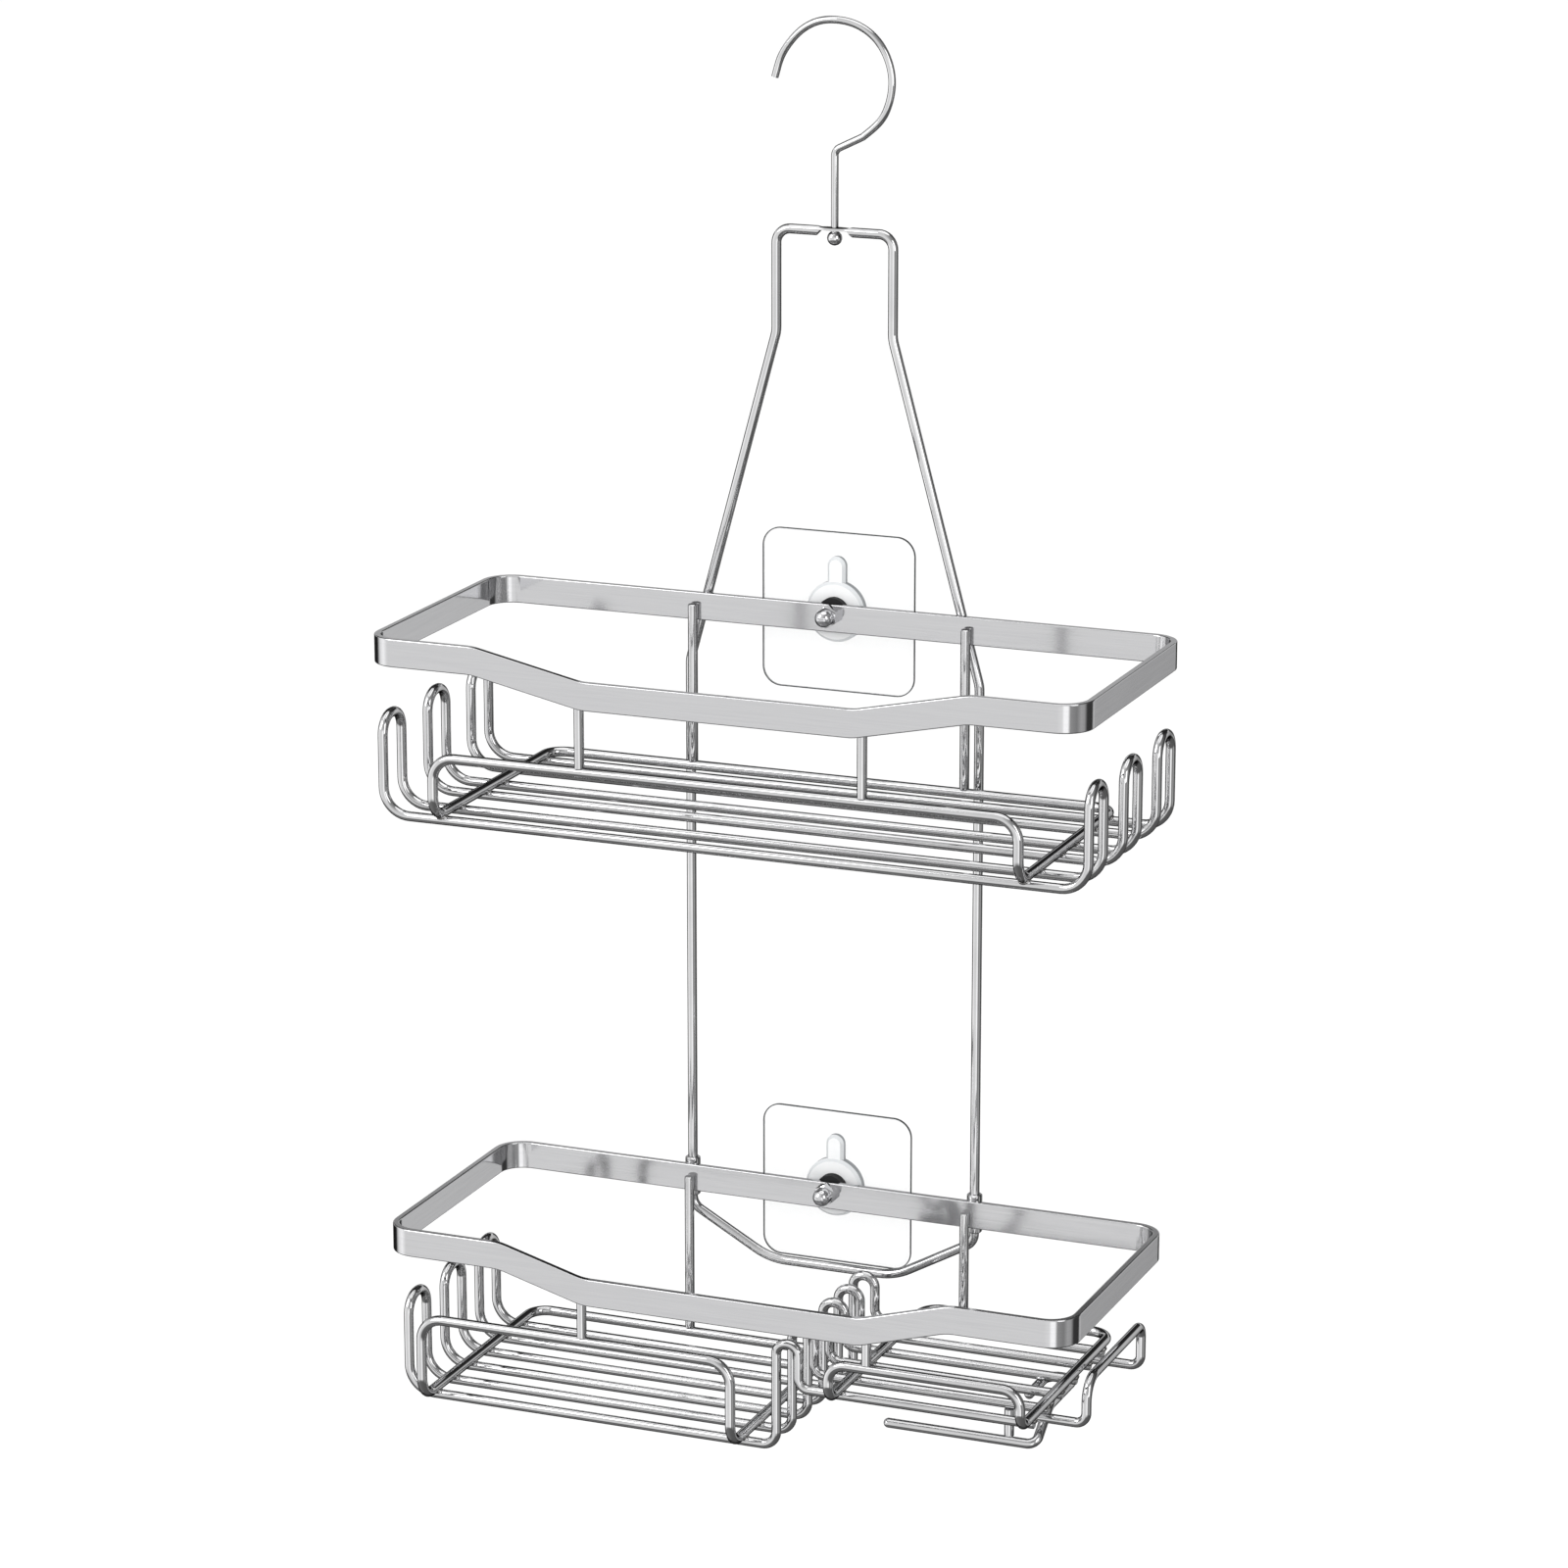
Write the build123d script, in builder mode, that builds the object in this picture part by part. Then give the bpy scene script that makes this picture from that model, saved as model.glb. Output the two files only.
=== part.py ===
from build123d import *
import os
from math import asin, cos, degrees, radians, sin, sqrt

os.makedirs("parts", exist_ok=True)

# Two-tier hanging shower caddy.
# Frame: origin at the point where the hook rests on the pipe (inside top of the
# hook), +X to the right along the racks, +Y towards the wall, +Z up.  mm.

# ---------------------------------------------------------------- wire stock
HOOK_R = 1.5        # hook wire radius
YOKE_R = 2.0        # hanger yoke and brace wire radius
GUARD_R = 2.1       # guard ring wire radius
BASE_R = 2.0        # base wire and post radius
TOUCH = 0.15        # how far wires that meet side by side are pressed together
SET_DOWN = 1.2      # how far a crossing wire is welded into the wires under it

# ---------------------------------------------------------------- swivel hook
# centre line of the hook in its own plane, from the free end over the top: an
# arc that opens out towards the free end and runs straight into the knee
HOOK_POINTS = [
    (-25.6, -22.2), (-23.3, -14.8), (-19.4, -8.4), (-13.8, -2.8), (-6.6, 0.75),
    (-0.6, 1.5), (9.4, -0.2), (18.0, -6.1), (22.8, -14.5), (24.1, -21.6),
    (22.5, -31.4), (18.6, -38.2), (12.5, -43.6), (7.0, -46.5),
]
HOOK_KNEE_Z = -49.9
HOOK_KNEE_R = 3.6
BALL_R = 3.0
LUG_TOP_Z = -80.95  # flattened middle of the yoke's top bar
LUG_T = 1.0
LUG_W = 5.4
LUG_L = 16.0
LUG_CLEAR = 0.08    # radial running clearance of the stem in the lug
BALL_GAP = 0.10     # clearance between the ball and the lug

# ---------------------------------------------------------------- hanger yoke
YOKE_TOP_Z = -82.4
YOKE_NECK_X = 25.0
YOKE_KINK_TOP_Z = -124.2
YOKE_ROD_X = 63.1
YOKE_KINK_LOW_Z = -263.0
YOKE_CORNER_R = 6.0

# ---------------------------------------------------------------- flat-bar rims
BAR_H = 11.4
BAR_T = 2.8
RIM_CORNER_R = 12.5
RIM_EDGE_R = 0.5
DIP_BEND_R = 22.0

UP_W, UP_BACK_Y, UP_FRONT_Y, UP_TOP_Z = 300.0, -1.9, -125.0, -233.7
UP_DIP, UP_DIP_OUT_X, UP_DIP_IN_X = 9.9, 103.7, 57.0
LO_W, LO_BACK_Y, LO_FRONT_Y, LO_TOP_Z = 295.4, -3.1, -123.4, -480.2
LO_DIP, LO_DIP_OUT_X, LO_DIP_IN_X = 10.4, 96.5, 59.5

# ---------------------------------------------------------------- upper rack
UP_BASE_Z = -309.0
UP_BASE_END_X = 148.5
UP_BASE_Y = [-112.5, -95.6, -71.5, -54.6, -30.6, -13.7]
UP_LOOP_TOP_Z = -269.1
UP_GUARD_TOP_Z = -281.2
UP_GUARD_X = 123.0
UP_POST_X = 59.3
BASE_BEND_R = 11.0
LOOP_R = 7.8
GUARD_TOP_R = 9.5
GUARD_LOW_R = 8.5
GUARD_BACK_R = 8.0
TRAY_TOP_R, TRAY_LOW_R = 7.5, 6.0

# ---------------------------------------------------------------- lower rack
LO_BASE_Z = -556.9
LO_BASE_END_X = 145.5
LO_BASE_Y = [-105.4, -88.5, -71.6, -54.7, -37.8, -20.9]
LO_LOOP_TOP_Z = -516.6
ARCH_LEFT_X, ARCH_RIGHT_X, ARCH_TOP_Z = 17.7, 27.3, -512.8
ARCH_TOP_R, ARCH_FOOT_R, ARCH_EXIT_R = 4.6, 6.0, 4.5
TRAY_Z = -531.1
TRAY_END_X = 127.4
LO_POST_X = 61.5
BASKET_TOP_Z, BASKET_LEFT_X, BASKET_RIGHT_X = -519.1, -133.3, 3.2
TRAY_TOP_Z, TRAY_LEFT_X, TRAY_RIGHT_X = -513.0, 45.2, 125.9

# ---------------------------------------------------------------- sleeves, brace
SLEEVE_R = 3.2
SLEEVE_TOP_Z, SLEEVE_LOW_Z = -478.4, -495.0
BRACE_LOW_Z = -519.1

# ---------------------------------------------------------------- side bar, razor hook
SIDE_X, SIDE_TOP_Z, SIDE_IN_X = 143.0, -516.9, 121.5
SIDE_R = 2.0
RAZOR_Y, RAZOR_Z, RAZOR_TIP_X, RAZOR_LEG_X = -91.2, -545.9, 60.5, 123.0
RAZOR_BACK_Y, RAZOR_END_X, RAZOR_END_Y = -44.5, 111.5, -67.0
RAZOR_R = 2.0

# ---------------------------------------------------------------- wall pads
PAD_SIDE, PAD_CORNER_R = 66.4, 8.0
PAD_FRONT_Y, PAD_BACK_Y = 5.0, 5.8
BOSS_R, BOSS_FRONT_Y = 12.6, 1.0
TAB_W, TAB_TOP, TAB_FRONT_Y = 7.8, 22.6, 1.9
BOSS_BEVEL = 1.2
PIN_RISE = 1.4      # the wall fixing sits a little above the middle of the rail
PAD_DROP = 0.8      # and a little above the middle of its pad
STUD_R = 2.5
STUD_HEAD_R, STUD_HEAD_T = 5.0, 1.2
WASHER_R = 6.4
NUT_AF, NUT_HEX_H, NUT_H = 8.0, 4.4, 10.0
STUD_HOLE_R = 2.6


def wall_side(back_y):
    """Inner face of a back rail."""
    return back_y - BAR_T


def save(part, name):
    part.label = name
    export_step(part, "parts/" + name + ".step")


# ================================================================ swivel hook
ball_z = LUG_TOP_Z - LUG_T - BALL_GAP - BALL_R

hook_frame = Plane(origin=(0, 0, 0), x_dir=(1, 0, 0), z_dir=(0, -1, 0))
with BuildPart() as hook_wire:
    with BuildLine(hook_frame) as hook_path:
        Spline(*HOOK_POINTS, tangents=[(0.30, 0.954), (-0.9, -0.437)])
        FilletPolyline(HOOK_POINTS[-1], (0, HOOK_KNEE_Z), (0, ball_z), radius=HOOK_KNEE_R)
    with BuildSketch(Plane(hook_path.line @ 0, z_dir=hook_path.line % 0)):
        Circle(HOOK_R)
    sweep()
save(hook_wire.part, "hook_wire")

with BuildPart() as hook_ball:
    with Locations((0, 0, ball_z)):
        Sphere(BALL_R)
    with BuildSketch(Plane.XY.offset(ball_z)):
        Circle(HOOK_R)
    extrude(amount=BALL_R + 1, mode=Mode.SUBTRACT)
save(hook_ball.part, "hook_ball")

# ================================================================ hanger yoke
rod_end_z = (SLEEVE_TOP_Z + SLEEVE_LOW_Z) / 2
with BuildPart() as hanger_yoke:
    with BuildLine() as yoke_path:
        FilletPolyline(
            (-YOKE_ROD_X, 0, rod_end_z),
            (-YOKE_ROD_X, 0, YOKE_KINK_LOW_Z),
            (-YOKE_NECK_X, 0, YOKE_KINK_TOP_Z),
            (-YOKE_NECK_X, 0, YOKE_TOP_Z),
            (YOKE_NECK_X, 0, YOKE_TOP_Z),
            (YOKE_NECK_X, 0, YOKE_KINK_TOP_Z),
            (YOKE_ROD_X, 0, YOKE_KINK_LOW_Z),
            (YOKE_ROD_X, 0, rod_end_z),
            radius=[14, 14, YOKE_CORNER_R, YOKE_CORNER_R, 14, 14],
        )
    with BuildSketch(Plane.XY.offset(rod_end_z)):
        with Locations((-YOKE_ROD_X, 0)):
            Circle(YOKE_R)
    sweep()
    # the middle of the top bar is pressed flat and drilled for the stem
    with BuildSketch(hook_frame):
        with BuildLine():
            Polyline(
                (-LUG_L / 2 + 0.4, YOKE_TOP_Z - YOKE_R - 1),
                (-LUG_L / 2 + 0.4, YOKE_TOP_Z - YOKE_R + 0.3),
                (-LUG_L / 2 + 2.2, LUG_TOP_Z - LUG_T),
                (LUG_L / 2 - 2.2, LUG_TOP_Z - LUG_T),
                (LUG_L / 2 - 0.4, YOKE_TOP_Z - YOKE_R + 0.3),
                (LUG_L / 2 - 0.4, YOKE_TOP_Z - YOKE_R - 1),
                close=True,
            )
        make_face()
    extrude(amount=6, both=True, mode=Mode.SUBTRACT)
    with BuildSketch(hook_frame):
        with BuildLine():
            Polyline(
                (-LUG_L / 2 + 0.4, YOKE_TOP_Z + YOKE_R + 1),
                (-LUG_L / 2 + 0.4, YOKE_TOP_Z + YOKE_R),
                (-LUG_L / 2 + 2.4, LUG_TOP_Z),
                (LUG_L / 2 - 2.4, LUG_TOP_Z),
                (LUG_L / 2 - 0.4, YOKE_TOP_Z + YOKE_R),
                (LUG_L / 2 - 0.4, YOKE_TOP_Z + YOKE_R + 1),
                close=True,
            )
        make_face()
    extrude(amount=6, both=True, mode=Mode.SUBTRACT)
    with BuildSketch(Plane.XY.offset(LUG_TOP_Z - LUG_T)):
        Ellipse(LUG_L / 2 - 1.2, LUG_W / 2)
    extrude(amount=LUG_T)
    with BuildSketch(Plane.XY.offset(LUG_TOP_Z - LUG_T - 1)):
        Circle(HOOK_R + LUG_CLEAR)
    extrude(amount=LUG_T + 3, mode=Mode.SUBTRACT)
save(hanger_yoke.part, "hanger_yoke")


# ================================================================ flat-bar rims
def rim(width, front_y, back_y, top_z, dip, out_x, in_x):
    """Closed flat-bar loop whose front rail dips in the middle."""
    depth = back_y - front_y
    mid_y = (back_y + front_y) / 2
    low_z = top_z - BAR_H
    with BuildPart() as bar:
        with BuildSketch(Plane.XY.offset(low_z - dip - 1)):
            with Locations((0, mid_y)):
                RectangleRounded(width, depth, RIM_CORNER_R)
                RectangleRounded(width - 2 * BAR_T, depth - 2 * BAR_T, RIM_CORNER_R - BAR_T, mode=Mode.SUBTRACT)
        extrude(amount=BAR_H + dip + 1)
        # everything behind the front rail is a plain band
        with BuildSketch(Plane.XY.offset(low_z - dip - 2)):
            with Locations((0, front_y + RIM_CORNER_R + 100)):
                Rectangle(width + 10, 200)
        extrude(amount=dip + 2, mode=Mode.SUBTRACT)
        # the front rail follows the dip
        with BuildSketch(Plane(origin=(0, front_y, 0), x_dir=(1, 0, 0), z_dir=(0, -1, 0))):
            with BuildLine():
                FilletPolyline(
                    (-out_x - 30, top_z), (-out_x, top_z), (-in_x, top_z - dip),
                    (in_x, top_z - dip), (out_x, top_z), (out_x + 30, top_z),
                    radius=DIP_BEND_R,
                )
                Polyline((out_x + 30, top_z), (out_x + 30, top_z + 5), (-out_x - 30, top_z + 5), (-out_x - 30, top_z))
            make_face()
        extrude(amount=BAR_T + 2, both=True, mode=Mode.SUBTRACT)
        with BuildSketch(Plane(origin=(0, front_y, 0), x_dir=(1, 0, 0), z_dir=(0, -1, 0))):
            with BuildLine():
                FilletPolyline(
                    (-width / 2 - 5, low_z), (-out_x, low_z), (-in_x, low_z - dip),
                    (in_x, low_z - dip), (out_x, low_z), (width / 2 + 5, low_z),
                    radius=DIP_BEND_R,
                )
                Polyline((width / 2 + 5, low_z), (width / 2 + 5, low_z - dip - 5), (-width / 2 - 5, low_z - dip - 5), (-width / 2 - 5, low_z))
            make_face()
        extrude(amount=RIM_CORNER_R + 0.5, both=True, mode=Mode.SUBTRACT)
        # screw hole in the middle of the back rail
        with BuildSketch(Plane(origin=(0, back_y + 1, top_z - BAR_H / 2 + PIN_RISE), x_dir=(1, 0, 0), z_dir=(0, -1, 0))):
            Circle(STUD_HOLE_R)
        extrude(amount=BAR_T + 2, mode=Mode.SUBTRACT)
        # long edges of the strip are rounded over
        long_edges = [
            e for e in bar.edges()
            if abs((e % 0.5).Z) < 0.9
            and not (abs((e % 0.5).Y) > 0.9 and abs((e @ 0.5).X) < width / 2 - RIM_CORNER_R)
            and not (e.geom_type == GeomType.CIRCLE and e.radius < STUD_HOLE_R + 0.1)
        ]
        fillet(long_edges, RIM_EDGE_R)
    return bar


upper_rim = rim(UP_W, UP_FRONT_Y, UP_BACK_Y, UP_TOP_Z, UP_DIP, UP_DIP_OUT_X, UP_DIP_IN_X)
save(upper_rim.part, "upper_rim")
lower_rim = rim(LO_W, LO_FRONT_Y, LO_BACK_Y, LO_TOP_Z, LO_DIP, LO_DIP_OUT_X, LO_DIP_IN_X)
save(lower_rim.part, "lower_rim")

# ================================================================ upper base rings
for ring_name, y_front, y_back in (
    ("upper_base_ring_front", UP_BASE_Y[0], UP_BASE_Y[1]),
    ("upper_base_ring_middle", UP_BASE_Y[2], UP_BASE_Y[3]),
    ("upper_base_ring_back", UP_BASE_Y[4], UP_BASE_Y[5]),
):
    x = UP_BASE_END_X
    with BuildPart() as base_ring:
        with BuildLine() as ring_path:
            FilletPolyline(
                (-x, y_front, UP_BASE_Z), (x, y_front, UP_BASE_Z),
                (x, y_front, UP_LOOP_TOP_Z), (x, y_back, UP_LOOP_TOP_Z),
                (x, y_back, UP_BASE_Z), (-x, y_back, UP_BASE_Z),
                (-x, y_back, UP_LOOP_TOP_Z), (-x, y_front, UP_LOOP_TOP_Z),
                radius=[BASE_BEND_R, BASE_BEND_R, LOOP_R, LOOP_R, BASE_BEND_R, BASE_BEND_R, LOOP_R, LOOP_R],
                close=True,
            )
        with BuildSketch(Plane(ring_path.line @ 0, z_dir=ring_path.line % 0)):
            Circle(BASE_R)
        sweep()
    save(base_ring.part, ring_name)


# ================================================================ guard rings
def guard_ring(x_left, x_right, y_front, y_back, top_z, low_z, top_r, low_r):
    """Closed wire: raised front rail, legs, then a floor-level frame."""
    with BuildPart() as ring:
        with BuildLine() as path:
            FilletPolyline(
                (x_left, y_front, top_z), (x_right, y_front, top_z),
                (x_right, y_front, low_z), (x_right, y_back, low_z),
                (x_left, y_back, low_z), (x_left, y_front, low_z),
                radius=[top_r, top_r, low_r, GUARD_BACK_R, GUARD_BACK_R, low_r],
                close=True,
            )
        with BuildSketch(Plane(path.line @ 0, z_dir=path.line % 0)):
            Circle(GUARD_R)
        sweep()
    return ring


up_guard_y = UP_FRONT_Y + BAR_T + BASE_R - TOUCH
up_ring_back_y = wall_side(UP_BACK_Y) - BASE_R + TOUCH
up_ring_z = UP_BASE_Z + BASE_R + GUARD_R - SET_DOWN
upper_guard_ring = guard_ring(
    -UP_GUARD_X, UP_GUARD_X, up_guard_y, up_ring_back_y, UP_GUARD_TOP_Z, up_ring_z, GUARD_TOP_R, GUARD_LOW_R
)
save(upper_guard_ring.part, "upper_guard_ring")

lo_guard_y = LO_FRONT_Y + BAR_T + BASE_R - TOUCH
lo_ring_back_y = wall_side(LO_BACK_Y) - BASE_R + TOUCH
basket_ring_z = LO_BASE_Z + BASE_R + GUARD_R - SET_DOWN
tray_ring_z = TRAY_Z + BASE_R + GUARD_R - SET_DOWN
lower_basket_ring = guard_ring(
    BASKET_LEFT_X, BASKET_RIGHT_X, lo_guard_y, lo_ring_back_y, BASKET_TOP_Z, basket_ring_z, GUARD_TOP_R, GUARD_LOW_R
)
save(lower_basket_ring.part, "lower_basket_ring")
soap_tray_ring = guard_ring(
    TRAY_LEFT_X, TRAY_RIGHT_X, lo_guard_y, lo_ring_back_y, TRAY_TOP_Z, tray_ring_z, TRAY_TOP_R, TRAY_LOW_R
)
save(soap_tray_ring.part, "soap_tray_ring")

# ================================================================ posts
# Front posts hang from the front rail's inner face down to the guard wire; back
# posts run from the back rail's inner face down to the ring's back wire.
POSTS = []
for side, sign in (("left", -1), ("right", 1)):
    POSTS.append((f"upper_front_post_{side}", sign * UP_POST_X, up_guard_y,
                  UP_TOP_Z - UP_DIP - 2.5, UP_GUARD_TOP_Z + GUARD_R - TOUCH))
    POSTS.append((f"upper_back_post_{side}", sign * UP_POST_X, up_ring_back_y,
                  UP_TOP_Z - 4.5, up_ring_z + GUARD_R - TOUCH))
    front_seat = BASKET_TOP_Z if side == "left" else TRAY_TOP_Z
    back_seat = basket_ring_z if side == "left" else tray_ring_z
    POSTS.append((f"lower_front_post_{side}", sign * LO_POST_X, lo_guard_y,
                  LO_TOP_Z - LO_DIP - 2.5, front_seat + GUARD_R - TOUCH))
    POSTS.append((f"lower_back_post_{side}", sign * LO_POST_X, lo_ring_back_y,
                  LO_TOP_Z - 4.5, back_seat + GUARD_R - TOUCH))

for post_name, px, py, z_top, z_low in POSTS:
    with BuildPart() as post:
        with BuildSketch(Plane.XY.offset(z_low)):
            with Locations((px, py)):
                Circle(BASE_R)
        extrude(amount=z_top - z_low)
        chamfer(post.edges().group_by(Axis.Z)[-1], 0.35)
    save(post.part, post_name)

# ================================================================ lower base wires
for wire_name, y_front, y_back in (
    ("lower_base_wire_front", LO_BASE_Y[0], LO_BASE_Y[1]),
    ("lower_base_wire_middle", LO_BASE_Y[2], LO_BASE_Y[3]),
    ("lower_base_wire_back", LO_BASE_Y[4], LO_BASE_Y[5]),
):
    x = -LO_BASE_END_X
    with BuildPart() as base_wire:
        with BuildLine() as wire_path:
            FilletPolyline(
                (TRAY_END_X, y_front, TRAY_Z), (ARCH_RIGHT_X, y_front, TRAY_Z),
                (ARCH_RIGHT_X, y_front, ARCH_TOP_Z), (ARCH_LEFT_X, y_front, ARCH_TOP_Z),
                (ARCH_LEFT_X, y_front, LO_BASE_Z), (x, y_front, LO_BASE_Z),
                (x, y_front, LO_LOOP_TOP_Z), (x, y_back, LO_LOOP_TOP_Z),
                (x, y_back, LO_BASE_Z), (ARCH_LEFT_X, y_back, LO_BASE_Z),
                (ARCH_LEFT_X, y_back, ARCH_TOP_Z), (ARCH_RIGHT_X, y_back, ARCH_TOP_Z),
                (ARCH_RIGHT_X, y_back, TRAY_Z), (TRAY_END_X, y_back, TRAY_Z),
                radius=[ARCH_EXIT_R, ARCH_TOP_R, ARCH_TOP_R, ARCH_FOOT_R, BASE_BEND_R, LOOP_R,
                        LOOP_R, BASE_BEND_R, ARCH_FOOT_R, ARCH_TOP_R, ARCH_TOP_R, ARCH_EXIT_R],
            )
        with BuildSketch(Plane(wire_path.line @ 0, z_dir=wire_path.line % 0)):
            Circle(BASE_R)
        sweep()
        chamfer(base_wire.edges().filter_by(GeomType.CIRCLE).group_by(Axis.X)[-1], 0.35)
    save(base_wire.part, wire_name)

# ================================================================ sleeves and brace
for side, sign in (("left", -1), ("right", 1)):
    with BuildPart() as sleeve:
        with BuildSketch(Plane.XY.offset(SLEEVE_LOW_Z)):
            with Locations((sign * YOKE_ROD_X, 0)):
                Circle(SLEEVE_R)
                Circle(YOKE_R, mode=Mode.SUBTRACT)
        extrude(amount=SLEEVE_TOP_Z - SLEEVE_LOW_Z)
        chamfer(sleeve.edges().filter_by(GeomType.CIRCLE).filter_by(lambda e: e.radius > SLEEVE_R - 0.1), 0.5)
    save(sleeve.part, "rod_sleeve_" + side)

with BuildPart() as bottom_brace:
    with BuildLine() as brace_path:
        FilletPolyline(
            (-YOKE_ROD_X, 0, rod_end_z), (-YOKE_ROD_X, 0, SLEEVE_LOW_Z - 4.6),
            (-28.0, 0, BRACE_LOW_Z), (28.0, 0, BRACE_LOW_Z),
            (YOKE_ROD_X, 0, SLEEVE_LOW_Z - 4.6), (YOKE_ROD_X, 0, rod_end_z),
            radius=[6.5, 28, 28, 6.5],
        )
    with BuildSketch(Plane.XY.offset(rod_end_z)):
        with Locations((-YOKE_ROD_X, 0)):
            Circle(YOKE_R)
    sweep()
save(bottom_brace.part, "bottom_brace")

# ================================================================ side bar
side_z = TRAY_Z - BASE_R - SIDE_R + TOUCH
with BuildPart() as side_bar:
    with BuildLine() as side_path:
        FilletPolyline(
            (SIDE_IN_X, LO_BASE_Y[1], side_z), (SIDE_X, LO_BASE_Y[1], side_z),
            (SIDE_X, LO_BASE_Y[1], SIDE_TOP_Z), (SIDE_X, LO_BASE_Y[5], SIDE_TOP_Z),
            (SIDE_X, LO_BASE_Y[5], side_z), (SIDE_IN_X, LO_BASE_Y[5], side_z),
            radius=[4.5, 9.0, 5.0, 4.5],
        )
    with BuildSketch(Plane(side_path.line @ 0, z_dir=side_path.line % 0)):
        Circle(SIDE_R)
    sweep()
    chamfer(side_bar.edges().filter_by(GeomType.CIRCLE).group_by(Axis.X)[0], 0.35)
save(side_bar.part, "side_bar")

# ================================================================ razor hook
razor_top_z = TRAY_Z - BASE_R - RAZOR_R + TOUCH
with BuildPart() as razor_hook:
    with BuildLine() as razor_path:
        FilletPolyline(
            (RAZOR_END_X, RAZOR_END_Y, razor_top_z), (RAZOR_END_X, RAZOR_BACK_Y, razor_top_z),
            (RAZOR_LEG_X, RAZOR_BACK_Y, razor_top_z), (RAZOR_LEG_X, -76.0, razor_top_z),
            (RAZOR_LEG_X, RAZOR_Y, RAZOR_Z), (RAZOR_TIP_X, RAZOR_Y, RAZOR_Z),
            radius=[5.6, 5.6, 8.0, 4.0],
        )
    with BuildSketch(Plane(razor_path.line @ 0, z_dir=razor_path.line % 0)):
        Circle(RAZOR_R)
    sweep()
    with Locations((RAZOR_END_X, RAZOR_END_Y, razor_top_z), (RAZOR_TIP_X, RAZOR_Y, RAZOR_Z)):
        Sphere(RAZOR_R)
save(razor_hook.part, "razor_hook")

strut_x, strut_y = 111.2, LO_BASE_Y[1] - 1.2
with BuildPart() as razor_strut:
    with BuildSketch(Plane.XY.offset(TRAY_Z - BASE_R + TOUCH)):
        with Locations((strut_x, strut_y)):
            Circle(BASE_R)
    extrude(amount=-(TRAY_Z - BASE_R + TOUCH - (RAZOR_Z + RAZOR_R - TOUCH)))
save(razor_strut.part, "razor_hook_strut")

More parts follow.
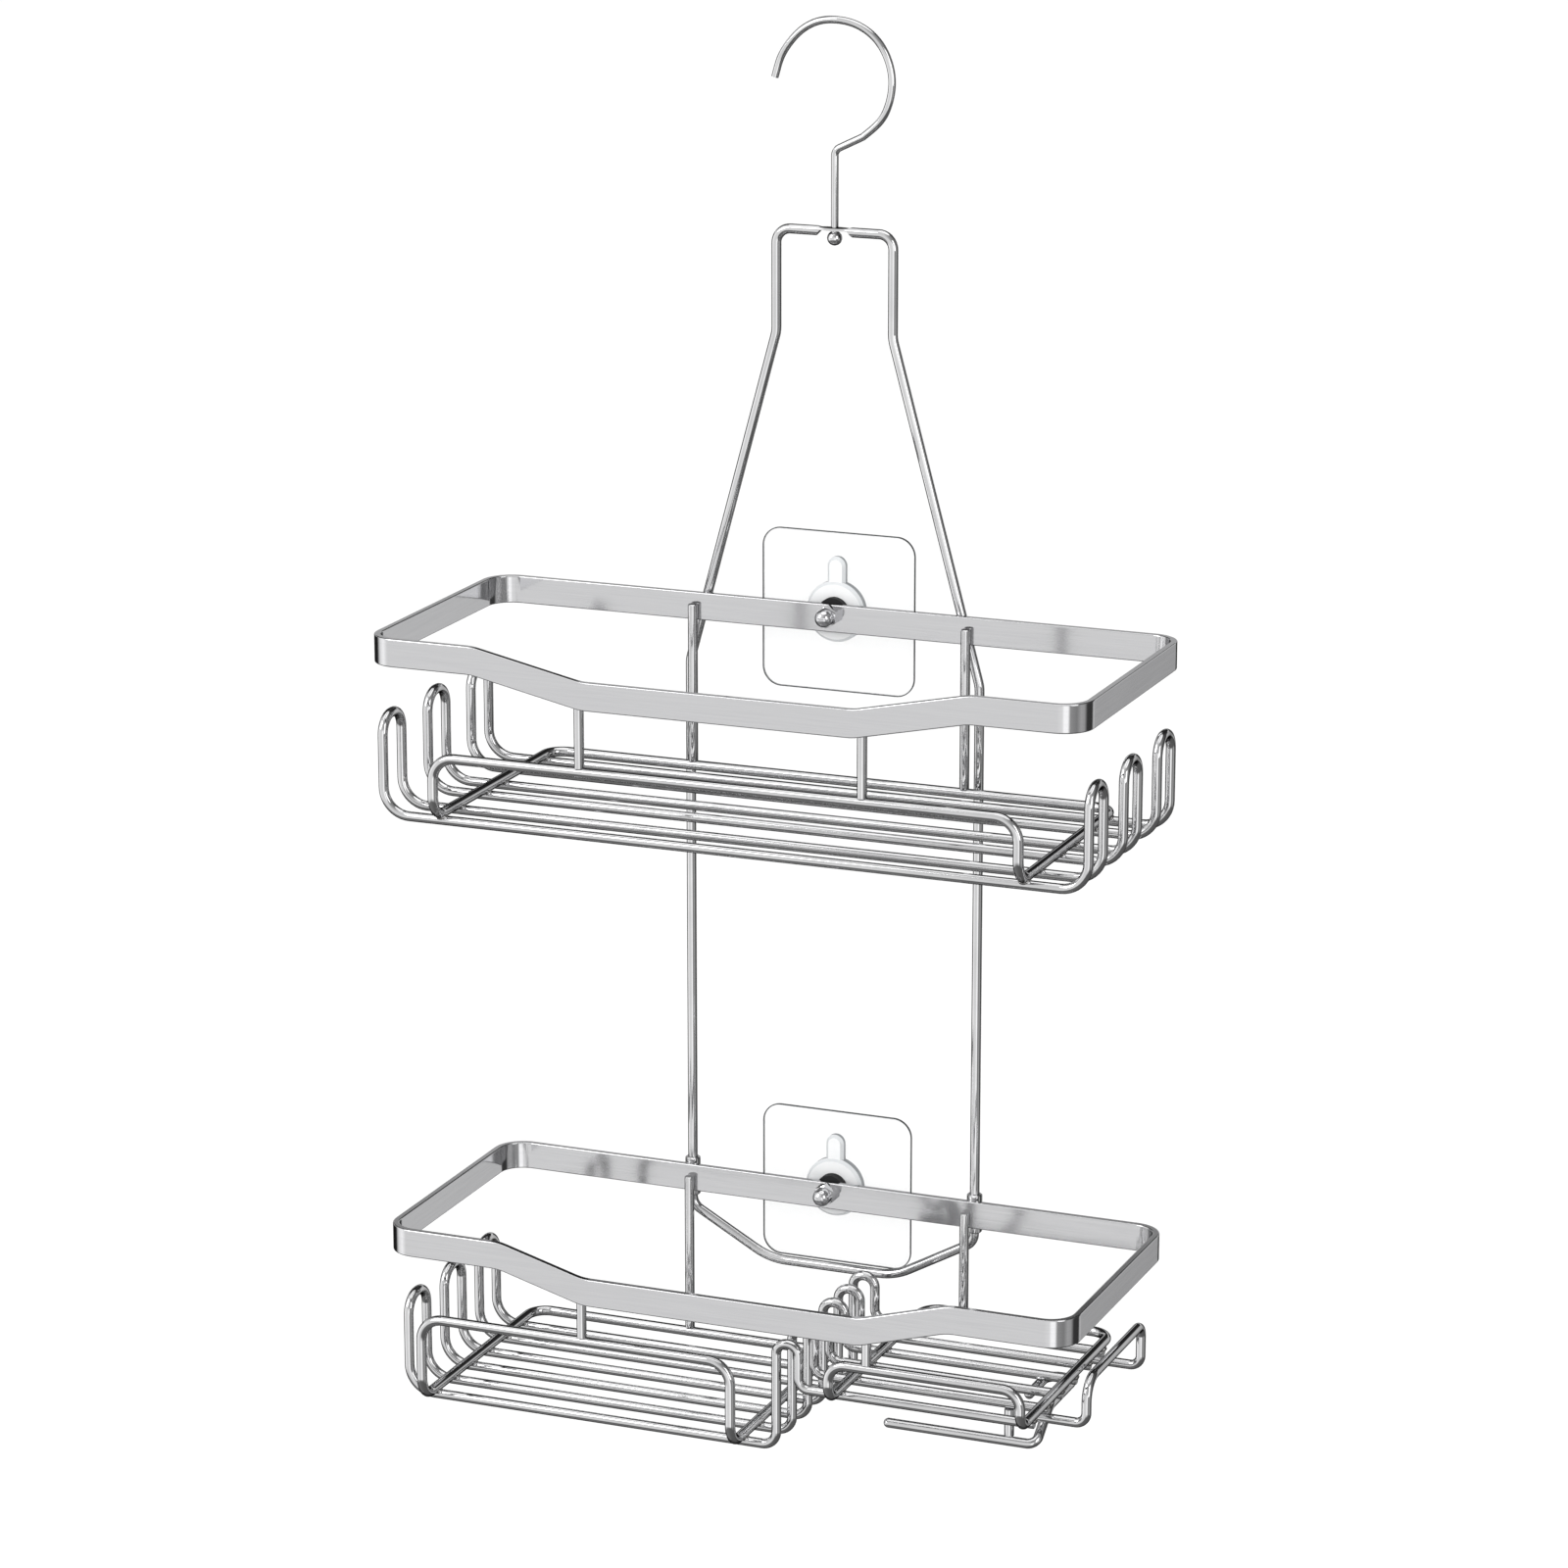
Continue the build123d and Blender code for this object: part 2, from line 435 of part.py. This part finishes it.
# ================================================================ wall pads
for tier, back_y, top_z in (("upper", UP_BACK_Y, UP_TOP_Z), ("lower", LO_BACK_Y, LO_TOP_Z)):
    cz = top_z - BAR_H / 2 + PIN_RISE
    inner_y = wall_side(back_y)

    with BuildPart() as pad:
        with BuildSketch(Plane(origin=(0, PAD_FRONT_Y, cz - PAD_DROP), x_dir=(1, 0, 0), z_dir=(0, -1, 0))):
            RectangleRounded(PAD_SIDE, PAD_SIDE, PAD_CORNER_R)
        extrude(amount=-(PAD_BACK_Y - PAD_FRONT_Y))
    save(pad.part, tier + "_wall_pad")

    with BuildPart() as tab:
        with BuildSketch(Plane(origin=(0, PAD_FRONT_Y, cz), x_dir=(1, 0, 0), z_dir=(0, -1, 0))):
            with Locations((0, (TAB_TOP - TAB_W / 2) / 2)):
                Rectangle(TAB_W, TAB_TOP - TAB_W / 2)
            with Locations((0, TAB_TOP - TAB_W / 2)):
                Circle(TAB_W / 2)
        extrude(amount=PAD_FRONT_Y - TAB_FRONT_Y)
        chamfer(tab.faces().sort_by(Axis.Y)[0].edges(), BOSS_BEVEL)
    with BuildPart() as boss:
        with BuildSketch(Plane(origin=(0, PAD_FRONT_Y, cz), x_dir=(1, 0, 0), z_dir=(0, -1, 0))):
            Circle(BOSS_R)
        extrude(amount=PAD_FRONT_Y - BOSS_FRONT_Y)
        chamfer(boss.faces().sort_by(Axis.Y)[0].edges(), BOSS_BEVEL)
        add(tab.part)
        with BuildSketch(Plane(origin=(0, PAD_FRONT_Y, cz), x_dir=(1, 0, 0), z_dir=(0, -1, 0))):
            Circle(STUD_R)
        extrude(amount=PAD_FRONT_Y - BOSS_FRONT_Y + 1, mode=Mode.SUBTRACT)
        with BuildSketch(Plane(origin=(0, PAD_FRONT_Y, cz), x_dir=(1, 0, 0), z_dir=(0, -1, 0))):
            Circle(STUD_HEAD_R)
        extrude(amount=STUD_HEAD_T, mode=Mode.SUBTRACT)
    save(boss.part, tier + "_pad_boss")

    with BuildPart() as stud:
        with BuildSketch(Plane(origin=(0, PAD_FRONT_Y, cz), x_dir=(1, 0, 0), z_dir=(0, -1, 0))):
            Circle(STUD_HEAD_R)
        extrude(amount=STUD_HEAD_T)
        with BuildSketch(Plane(origin=(0, PAD_FRONT_Y, cz), x_dir=(1, 0, 0), z_dir=(0, -1, 0))):
            Circle(STUD_R)
        extrude(amount=PAD_FRONT_Y - inner_y + 6.5)
    save(stud.part, tier + "_stud")

    with BuildPart() as washer:
        with BuildSketch(Plane(origin=(0, BOSS_FRONT_Y, cz), x_dir=(1, 0, 0), z_dir=(0, -1, 0))):
            Circle(WASHER_R)
            Circle(STUD_R, mode=Mode.SUBTRACT)
        extrude(amount=BOSS_FRONT_Y - back_y)
    save(washer.part, tier + "_washer")

    with BuildPart() as nut:
        with BuildSketch(Plane(origin=(0, inner_y, cz), x_dir=(1, 0, 0), z_dir=(0, -1, 0))):
            RegularPolygon(NUT_AF / 2, 6, major_radius=False, rotation=30)
        extrude(amount=NUT_HEX_H)
        # bevelled corners, then the dome
        with BuildSketch(Plane(origin=(0, inner_y, cz), x_dir=(1, 0, 0), z_dir=(0, 0, 1))):
            with BuildLine():
                Polyline((0, 0), (NUT_AF / 2 + 0.35, 0), (NUT_AF / 2 + 0.85, -0.5), (NUT_AF / 2 + 0.85, -NUT_HEX_H + 0.7),
                         (NUT_AF / 2 - 0.1, -NUT_HEX_H), (NUT_AF / 2 - 0.35, -NUT_HEX_H))
                Line((NUT_AF / 2 - 0.35, -NUT_HEX_H), (NUT_AF / 2 - 0.35, -NUT_H + 3.65))
                RadiusArc((NUT_AF / 2 - 0.35, -NUT_H + 3.65), (0, -NUT_H), 3.65)
                Line((0, -NUT_H), (0, 0))
            make_face()
        revolve(axis=Axis((0, inner_y, cz), (0, 1, 0)), mode=Mode.INTERSECT)
        with BuildSketch(Plane(origin=(0, inner_y, cz), x_dir=(1, 0, 0), z_dir=(0, -1, 0))):
            Circle(NUT_AF / 2 - 0.35)
        extrude(amount=NUT_H - 3.65)
        with Locations((0, inner_y - NUT_H + 3.65, cz)):
            Sphere(3.65)
        with BuildSketch(Plane(origin=(0, inner_y, cz), x_dir=(1, 0, 0), z_dir=(0, -1, 0))):
            Circle(STUD_R)
        extrude(amount=6.8, mode=Mode.SUBTRACT)
    save(nut.part, tier + "_cap_nut")
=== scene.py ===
import math

import bmesh
import bpy
from mathutils import Matrix, Vector


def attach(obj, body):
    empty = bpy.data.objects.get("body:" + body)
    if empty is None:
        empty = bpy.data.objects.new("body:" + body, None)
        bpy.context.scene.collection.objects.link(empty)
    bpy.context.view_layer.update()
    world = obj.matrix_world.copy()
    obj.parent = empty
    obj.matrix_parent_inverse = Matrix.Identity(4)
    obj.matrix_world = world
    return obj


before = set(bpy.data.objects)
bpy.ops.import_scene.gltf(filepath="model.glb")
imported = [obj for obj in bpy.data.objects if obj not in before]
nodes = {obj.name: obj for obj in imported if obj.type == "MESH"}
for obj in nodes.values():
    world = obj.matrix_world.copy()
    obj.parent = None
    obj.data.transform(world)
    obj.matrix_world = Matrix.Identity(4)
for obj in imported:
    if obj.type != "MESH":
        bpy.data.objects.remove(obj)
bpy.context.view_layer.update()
scene = bpy.context.scene

# ---------------------------------------------------------------- camera
# Same frame as the CAD: origin where the hook rests, +Y to the wall, +Z up.
cam_data = bpy.data.cameras.new("camera")
cam_data.sensor_width = 36.0
cam_data.lens = 122.96
cam_data.clip_start, cam_data.clip_end = 0.05, 120.0
camera = bpy.data.objects.new("camera", cam_data)
camera.location = (0.7757, -1.9642, 0.2606)
camera.rotation_euler = (math.radians(74.883), 0.0, math.radians(22.097))
scene.collection.objects.link(camera)
scene.camera = camera


# ---------------------------------------------------------------- node helpers
class Graph:
    def __init__(self, tree):
        self.tree = tree
        tree.nodes.clear()

    def add(self, kind, **values):
        node = self.tree.nodes.new(kind)
        for key, value in values.items():
            setattr(node, key, value)
        return node

    def link(self, a, b):
        self.tree.links.new(a, b)

    def put(self, socket, value):
        """A socket takes either a constant or another node's output."""
        if isinstance(value, bpy.types.NodeSocket):
            self.link(value, socket)
        else:
            socket.default_value = value

    def math(self, op, a, b=0.0, clamp=False):
        node = self.add("ShaderNodeMath", operation=op, use_clamp=clamp)
        self.put(node.inputs[0], a)
        self.put(node.inputs[1], b)
        return node.outputs[0]

    def ramp(self, value, stops, mode="EASE"):
        node = self.add("ShaderNodeValToRGB")
        node.color_ramp.interpolation = mode
        elements = node.color_ramp.elements
        while len(elements) > 1:
            elements.remove(elements[-1])
        elements[0].position = stops[0][0]
        elements[0].color = colour(stops[0][1])
        for place, shade in stops[1:]:
            elements.new(place).color = colour(shade)
        self.put(node.inputs[0], value)
        return node.outputs[0]

    def remap(self, value, low, high, to_low, to_high):
        node = self.add("ShaderNodeMapRange")
        for i, v in enumerate((value, low, high, to_low, to_high)):
            self.put(node.inputs[i], v)
        return node.outputs[0]

    def mix(self, factor, a, b, blend="MIX"):
        node = self.add("ShaderNodeMix", data_type="RGBA", blend_type=blend)
        self.put(node.inputs[0], factor)
        self.put(node.inputs[6], a if isinstance(a, bpy.types.NodeSocket) else colour(a))
        self.put(node.inputs[7], b if isinstance(b, bpy.types.NodeSocket) else colour(b))
        return node.outputs[2]

    def noise(self, vector, scale, detail=3.0, rough=0.55):
        node = self.add("ShaderNodeTexNoise")
        self.link(vector, node.inputs["Vector"])
        node.inputs["Scale"].default_value = scale
        node.inputs["Detail"].default_value = detail
        node.inputs["Roughness"].default_value = rough
        return node.outputs["Fac"]

    def place(self, scale=(1, 1, 1)):
        """Object coordinates in metres, stretched by scale."""
        coords = self.add("ShaderNodeTexCoord")
        mapping = self.add("ShaderNodeMapping")
        self.link(coords.outputs["Object"], mapping.inputs["Vector"])
        mapping.inputs["Scale"].default_value = scale
        return mapping.outputs["Vector"]


def colour(c):
    if isinstance(c, (int, float)):
        return (c, c, c, 1.0)
    return tuple(c) + (1.0,) if len(c) == 3 else tuple(c)


def material(name):
    mat = bpy.data.materials.new(name)
    mat.use_nodes = True
    graph = Graph(mat.node_tree)
    shader = graph.add("ShaderNodeBsdfPrincipled")
    out = graph.add("ShaderNodeOutputMaterial")
    graph.link(shader.outputs[0], out.inputs["Surface"])
    return mat, graph, shader


def bump(graph, shader, height, strength, distance):
    node = graph.add("ShaderNodeBump")
    node.inputs["Strength"].default_value = strength
    node.inputs["Distance"].default_value = distance
    graph.link(height, node.inputs["Height"])
    graph.link(node.outputs[0], shader.inputs["Normal"])


# ---------------------------------------------------------------- materials
def polished_wire(name, light, dark, rough_low, rough_high, edge=0.05):
    """Drawn and polished stainless wire: faint cloudy tone, soft patches in the gloss."""
    mat, g, s = material(name)
    cloud = g.noise(g.place(), 55.0, 4.0)
    fine = g.noise(g.place(), 900.0, 3.0)
    g.link(g.mix(g.remap(cloud, 0.35, 0.65, 0.0, 1.0), light, dark), s.inputs["Base Color"])
    g.link(g.remap(cloud, 0.3, 0.7, rough_low, rough_high), s.inputs["Roughness"])
    s.inputs["Specular Tint"].default_value = colour(edge)
    s.inputs["Metallic"].default_value = 1.0
    bump(g, s, fine, 0.02, 0.00003)
    return mat


def brushed_bar(name):
    """Flat bar with a fine grain along its length."""
    mat, g, s = material(name)
    grain = g.noise(g.place((30.0, 30.0, 1500.0)), 1.0, 5.0, 0.7)
    cloud = g.noise(g.place(), 35.0, 3.0)
    tone = g.mix(g.remap(grain, 0.3, 0.7, 0.0, 1.0), (0.78, 0.78, 0.79), (0.73, 0.73, 0.745))
    g.link(tone, s.inputs["Base Color"])
    rough = g.math("ADD", g.remap(grain, 0.3, 0.7, 0.08, 0.13), g.remap(cloud, 0.3, 0.7, -0.02, 0.02))
    g.link(rough, s.inputs["Roughness"])
    s.inputs["Specular Tint"].default_value = colour(0.35)
    s.inputs["Metallic"].default_value = 1.0
    bump(g, s, grain, 0.03, 0.00006)
    return mat


wire_mat = polished_wire("polished_wire", (0.82, 0.82, 0.825), (0.74, 0.74, 0.75), 0.03, 0.07)
rod_mat = polished_wire("polished_rod", (0.83, 0.83, 0.835), (0.76, 0.76, 0.77), 0.03, 0.07)
weld_mat = polished_wire("weld_steel", (0.66, 0.65, 0.64), (0.52, 0.51, 0.50), 0.20, 0.34)
rim_mat = brushed_bar("brushed_bar")
nut_mat = polished_wire("nut_chrome", (0.86, 0.86, 0.87), (0.80, 0.80, 0.82), 0.03, 0.07)
stud_mat = polished_wire("stud_zinc", (0.70, 0.70, 0.69), (0.58, 0.58, 0.57), 0.22, 0.32)

def clear_film(name, middle_z):
    """Clear sheet with a painted dark border: painted shade in the base colour stands in for the light that runs out
    along the sheet at its cut edge.
    """
    mat, g, s = material(name)
    split = g.add("ShaderNodeSeparateXYZ")
    g.link(g.add("ShaderNodeTexCoord").outputs["Object"], split.inputs[0])
    # distance inside the rounded square, in metres
    across = g.math("MAXIMUM", g.math("SUBTRACT", g.math("ABSOLUTE", split.outputs[0]), 0.0252), 0.0)
    up = g.math("MAXIMUM", g.math("SUBTRACT", g.math("ABSOLUTE", g.math("SUBTRACT", split.outputs[2], middle_z)), 0.0252), 0.0)
    reach = g.math("SQRT", g.math("ADD", g.math("MULTIPLY", across, across), g.math("MULTIPLY", up, up)))
    # painted shade: the band round the pad's cut edge is coloured near black and made nearly opaque
    painted_edge_shade = g.remap(reach, 0.0074, 0.0077, 0.0, 1.0)
    ripple = g.noise(g.place((1.0, 1.0, 1.0)), 45.0, 2.0)
    clear = g.mix(ripple, (0.97, 0.985, 0.99), (0.93, 0.95, 0.96))
    g.link(g.mix(painted_edge_shade, clear, (0.02, 0.022, 0.024)), s.inputs["Base Color"])
    g.link(g.remap(ripple, 0.3, 0.7, 0.04, 0.10), s.inputs["Roughness"])
    g.link(g.remap(painted_edge_shade, 0.0, 1.0, 0.10, 0.95), s.inputs["Alpha"])
    s.inputs["IOR"].default_value = 1.2
    bump(g, s, ripple, 0.10, 0.0005)
    return mat


film_mats = {"upper_wall_pad": clear_film("clear_film_upper", -0.2388), "lower_wall_pad": clear_film("clear_film_lower", -0.4853)}

boss_mat, g, s = material("milky_plastic")
haze = g.noise(g.place(), 160.0, 4.0)
# painted shade: faces whose normal turns away from the Y axis, the boss's side walls, are darkened in the base
# colour
side = g.add("ShaderNodeSeparateXYZ")
g.link(g.add("ShaderNodeTexCoord").outputs["Normal"], side.inputs[0])
facing_for_shade = g.remap(g.math("ABSOLUTE", side.outputs[1]), 0.15, 0.95, 0.0, 1.0)
body = g.mix(haze, (0.93, 0.935, 0.94), (0.86, 0.87, 0.875))
painted_side_shade = g.ramp(facing_for_shade, [(0.0, (0.30, 0.31, 0.32)), (0.25, (0.55, 0.56, 0.57)), (0.75, (0.74, 0.75, 0.76)), (1.0, 1.0)])
g.link(g.mix(1.0, body, painted_side_shade, "MULTIPLY"), s.inputs["Base Color"])
g.link(g.remap(haze, 0.3, 0.7, 0.16, 0.26), s.inputs["Roughness"])
s.inputs["IOR"].default_value = 1.46
s.inputs["Subsurface Weight"].default_value = 0.0
bump(g, s, haze, 0.06, 0.0004)

rubber_mat, g, s = material("black_rubber")
grit = g.noise(g.place(), 1400.0, 4.0)
g.link(g.mix(grit, (0.008, 0.008, 0.009), (0.022, 0.022, 0.023)), s.inputs["Base Color"])
g.link(g.remap(grit, 0.3, 0.7, 0.55, 0.75), s.inputs["Roughness"])
s.inputs["Specular IOR Level"].default_value = 0.2
bump(g, s, grit, 0.25, 0.0003)


def looks(name):
    if name.endswith("_rim"):
        return rim_mat
    if name.endswith("_wall_pad"):
        return film_mats[name]
    if name.endswith("_pad_boss"):
        return boss_mat
    if name.endswith("_washer"):
        return rubber_mat
    if name.endswith("_stud"):
        return stud_mat
    if name.endswith("_cap_nut"):
        return nut_mat
    if name in ("hook_wire", "hook_ball", "hanger_yoke", "bottom_brace") or name.startswith("rod_sleeve"):
        return rod_mat
    return wire_mat


for name, obj in nodes.items():
    for i in range(len(obj.material_slots)):
        obj.material_slots[i].material = looks(name)
    if not obj.material_slots:
        obj.data.materials.append(looks(name))

# ---------------------------------------------------------------- weld beads
# Small fused beads where a ring's side wires cross the base wires under them.
def weld_beads(name, xs, ys, z):
    mesh = bpy.data.meshes.new(name)
    bm = bmesh.new()
    for i, x in enumerate(xs):
        for j, y in enumerate(ys):
            turned = Matrix.Rotation(0.7 * i + 0.4 * j, 4, "Z")
            sized = Matrix.Diagonal((0.0027, 0.0024, 0.0015 + 0.0001 * ((i + j) % 3), 1.0))
            bmesh.ops.create_uvsphere(bm, u_segments=20, v_segments=12, radius=1.0,
                                      matrix=Matrix.Translation((x, y, z)) @ turned @ sized)
    for face in bm.faces:
        face.smooth = True
    bm.to_mesh(mesh)
    bm.free()
    obj = bpy.data.objects.new(name, mesh)
    scene.collection.objects.link(obj)
    mesh.materials.append(weld_mat)
    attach(obj, "caddy")


upper_rows = [-0.1125, -0.0956, -0.0715, -0.0546, -0.0306, -0.0137]
lower_rows = [-0.1054, -0.0885, -0.0716, -0.0547, -0.0378, -0.0209]
weld_beads("weld_beads_upper", [-0.1230, 0.1230], upper_rows, -0.3076)
weld_beads("weld_beads_basket", [-0.1333, 0.0032], lower_rows, -0.5555)
weld_beads("weld_beads_tray", [0.0452, 0.1259], lower_rows, -0.5297)

# ---------------------------------------------------------------- floor
bpy.ops.mesh.primitive_circle_add(vertices=128, radius=60.0, fill_type="NGON", location=(0, 0, -3.0))
floor = bpy.context.object
floor.name = "floor"
floor_mat, g, s = material("floor_white")
g.link(g.mix(g.noise(g.place(), 3.0, 2.0), (0.93, 0.93, 0.93), (0.95, 0.95, 0.95)), s.inputs["Base Color"])
s.inputs["Roughness"].default_value = 0.9
floor.data.materials.append(floor_mat)
floor.visible_glossy = False

# ---------------------------------------------------------------- studio
# White studio for the camera; the steel sees soft boxes with dark gaps between.
world = bpy.data.worlds.new("studio")
world.use_nodes = True
scene.world = world
g = Graph(world.node_tree)
direction = g.add("ShaderNodeTexCoord").outputs["Generated"]
split = g.add("ShaderNodeSeparateXYZ")
g.link(direction, split.inputs[0])
dx, dy, dz = split.outputs
# 0..1 round the object: 0.25 is +X, 0.5 is +Y (the wall), 0.75 is -X, 0 and 1 the front
turn = g.math("ADD", g.math("DIVIDE", g.math("ARCTAN2", dx, g.math("MULTIPLY", dy, -1.0)), 2 * math.pi), 1.0)
turn = g.math("FRACT", turn)
level = g.ramp(turn, [
    (0.00, 0.74), (0.045, 0.80), (0.062, 1.10), (0.100, 1.10), (0.122, 0.30), (0.19, 0.22), (0.235, 0.38), (0.275, 0.34), (0.31, 0.04),
    (0.395, 0.04), (0.412, 0.66), (0.456, 0.66), (0.466, 0.02), (0.492, 0.02), (0.506, 0.72), (0.612, 0.72), (0.628, 0.02),
    (0.725, 0.02), (0.745, 0.45), (0.770, 0.85), (0.82, 1.05), (0.87, 0.72), (0.93, 0.72),
], "LINEAR")
low_ring = g.ramp(turn, [
    (0.00, 0.12), (0.20, 0.10), (0.40, 0.10), (0.46, 0.02), (0.50, 0.06), (0.61, 0.06), (0.66, 0.02), (0.72, 0.04), (0.78, 0.20), (0.90, 0.14),
], "LINEAR")
high_ring = g.ramp(turn, [
    (0.00, 0.55), (0.10, 0.30), (0.22, 0.25), (0.35, 0.08), (0.44, 0.02), (0.68, 0.02), (0.78, 0.80), (0.90, 0.65),
], "LINEAR")
rise = g.math("ADD", g.math("MULTIPLY", dz, 0.5), 0.5)
# straight down is 0, level is 0.5, straight up is 1
around = g.mix(g.ramp(rise, [(0.0, 1.0), (0.245, 1.0), (0.305, 0.0), (1.0, 0.0)], "LINEAR"), level, low_ring)
around = g.mix(g.ramp(rise, [(0.0, 0.0), (0.58, 0.0), (0.66, 1.0), (1.0, 1.0)], "LINEAR"), around, high_ring)
# a narrow strip light behind and just above the racks, for the flat bars' top edges
strip = g.math("MULTIPLY",
    g.ramp(rise, [(0.0, 0.0), (0.585, 0.0), (0.60, 1.0), (0.66, 1.0), (0.675, 0.0)], "LINEAR"),
    g.ramp(turn, [(0.0, 0.0), (0.42, 0.0), (0.46, 1.0), (0.70, 1.0), (0.74, 0.0)], "LINEAR"))
around = g.mix(strip, around, 0.9)
# overhead soft box
overhead = g.ramp(rise, [(0.0, 0.0), (0.935, 0.0), (0.95, 1.0), (1.0, 1.0)], "LINEAR")
seen = g.mix(overhead, around, 1.15)
reflect = g.add("ShaderNodeBackground")
g.link(seen, reflect.inputs["Color"])
reflect.inputs["Strength"].default_value = 1.1
plain = g.add("ShaderNodeBackground")
plain.inputs["Color"].default_value = (1.0, 1.0, 1.0, 1.0)
plain.inputs["Strength"].default_value = 1.12
path = g.add("ShaderNodeLightPath")
pick = g.add("ShaderNodeMixShader")
g.link(path.outputs["Is Glossy Ray"], pick.inputs[0])
g.link(plain.outputs[0], pick.inputs[1])
g.link(reflect.outputs[0], pick.inputs[2])
out = g.add("ShaderNodeOutputWorld")
g.link(pick.outputs[0], out.inputs["Surface"])

scene.view_settings.view_transform = "Standard"


def softbox(name, location, aim, width, height, power):
    light = bpy.data.lights.new(name, "AREA")
    light.shape = "RECTANGLE"
    light.size, light.size_y = width, height
    light.energy = power
    obj = bpy.data.objects.new(name, light)
    obj.location = location
    obj.rotation_euler = (Vector(aim) - Vector(location)).to_track_quat("-Z", "Y").to_euler()
    scene.collection.objects.link(obj)
    return obj


softbox("key", (-1.6, -1.8, 1.2), (0, 0, -0.3), 1.2, 1.6, 22.0)
softbox("fill", (2.0, -1.2, 0.4), (0, 0, -0.35), 1.0, 1.8, 9.0)
